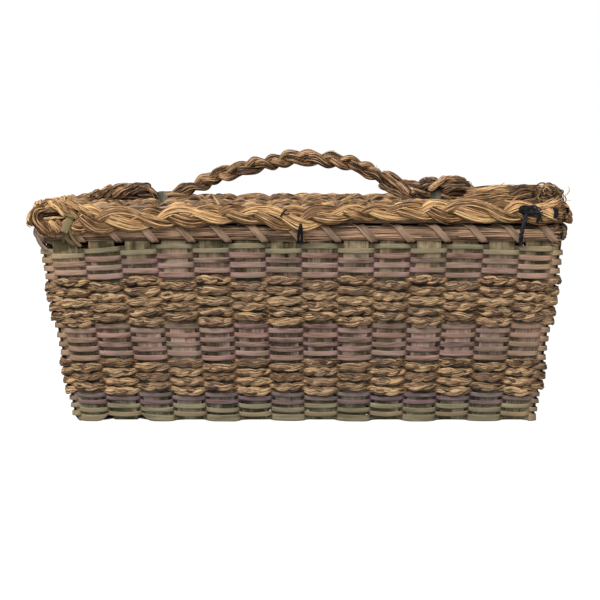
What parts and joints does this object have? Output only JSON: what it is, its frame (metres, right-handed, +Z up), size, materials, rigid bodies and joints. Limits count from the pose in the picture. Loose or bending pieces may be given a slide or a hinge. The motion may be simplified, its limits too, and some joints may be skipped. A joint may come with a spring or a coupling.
{
  "type": "sewing basket",
  "caption": "Flared rectangular basket of flat wood splint and braided sweetgrass, with a tied lid that lifts and a rope handle.",
  "frame": {"origin": "centre of the underside, on the middle lengthwise stake, at the level the basket stands on", "axes": "+X along the basket's length, +Z up, -Y towards the long side on which the lid is tied"},
  "size_m": [0.3146, 0.1968, 0.1553],
  "materials": {
    "stake_splint": "matte, khaki-brown aged splint",
    "green_splint": "matte, faded green dyed splint",
    "rose_splint": "matte, faded rose dyed splint",
    "purple_splint": "matte, faded purple dyed splint",
    "wall_braid": "dry sweetgrass in three-strand braid, slight sheen",
    "lid_braid": "dry sweetgrass braid, slight sheen",
    "rim_sweetgrass": "loose sweetgrass strands laid side by side",
    "rim_splint": "matte tan splint",
    "border_plait": "golden flat sweetgrass plait, slight sheen",
    "handle_braid": "dark sweetgrass rope braid, slight sheen",
    "loop_splint": "matte grey-green splint",
    "tie_splint": "matte pale green splint",
    "black_thread": "matte black thread"
  },
  "bodies": {
    "basket": {"cross_stake_01": "stake_splint", "cross_stake_02": "stake_splint", "cross_stake_03": "stake_splint", "cross_stake_04": "stake_splint", "cross_stake_05": "stake_splint", "cross_stake_06": "stake_splint", "cross_stake_07": "stake_splint", "cross_stake_08": "stake_splint", "cross_stake_09": "stake_splint", "cross_stake_10": "stake_splint", "cross_stake_11": "stake_splint", "cross_stake_12": "stake_splint", "cross_stake_13": "stake_splint", "cross_stake_14": "stake_splint", "long_stake_01": "stake_splint", "long_stake_02": "stake_splint", "long_stake_03": "stake_splint", "long_stake_04": "stake_splint", "long_stake_05": "stake_splint", "long_stake_06": "stake_splint", "long_stake_07": "stake_splint", "long_stake_08": "stake_splint", "long_stake_09": "stake_splint", "weft_green_top": "green_splint", "weft_rose_upper": "rose_splint", "weft_braid_upper": "wall_braid", "weft_rose_middle": "rose_splint", "weft_braid_lower": "wall_braid", "weft_purple": "purple_splint", "weft_green_foot": "green_splint", "rim_bundle": "rim_sweetgrass", "rim_hoop": "stake_splint", "rim_lashing": "rim_splint", "tie_splint_left": "tie_splint", "tie_thread_middle": "black_thread", "tie_thread_right": "black_thread"},
    "lid": {"lid_stake_01": "stake_splint", "lid_stake_02": "stake_splint", "lid_stake_03": "stake_splint", "lid_stake_04": "stake_splint", "lid_stake_05": "stake_splint", "lid_stake_06": "stake_splint", "lid_stake_07": "stake_splint", "lid_stake_08": "stake_splint", "lid_stake_09": "stake_splint", "lid_stake_10": "stake_splint", "lid_stake_11": "stake_splint", "lid_stake_12": "stake_splint", "lid_stake_13": "stake_splint", "lid_stake_14": "stake_splint", "lid_weft_rose_front": "rose_splint", "lid_weft_braid_front": "lid_braid", "lid_weft_middle": "purple_splint", "lid_weft_braid_back": "lid_braid", "lid_weft_rose_back": "rose_splint", "lid_hoop": "stake_splint", "lid_border": "border_plait", "handle_loop_left": "loop_splint", "handle_loop_right": "loop_splint"},
    "handle": {"handle_rope": "handle_braid"}
  },
  "joints": [
    {"name": "lid_hinge", "type": "hinge", "parent": "basket", "child": "lid", "pos_m": [0, -0.09705, 0.11515], "axis": [1, 0, 0], "range_deg": [0, 105], "deforming": ["tie_splint_left", "tie_thread_middle", "tie_thread_right"]},
    {"name": "handle_swing", "type": "hinge", "parent": "lid", "child": "handle", "pos_m": [0, 0, 0.1328], "axis": [1, 0, 0], "range_deg": [-85, 85]}
  ]
}
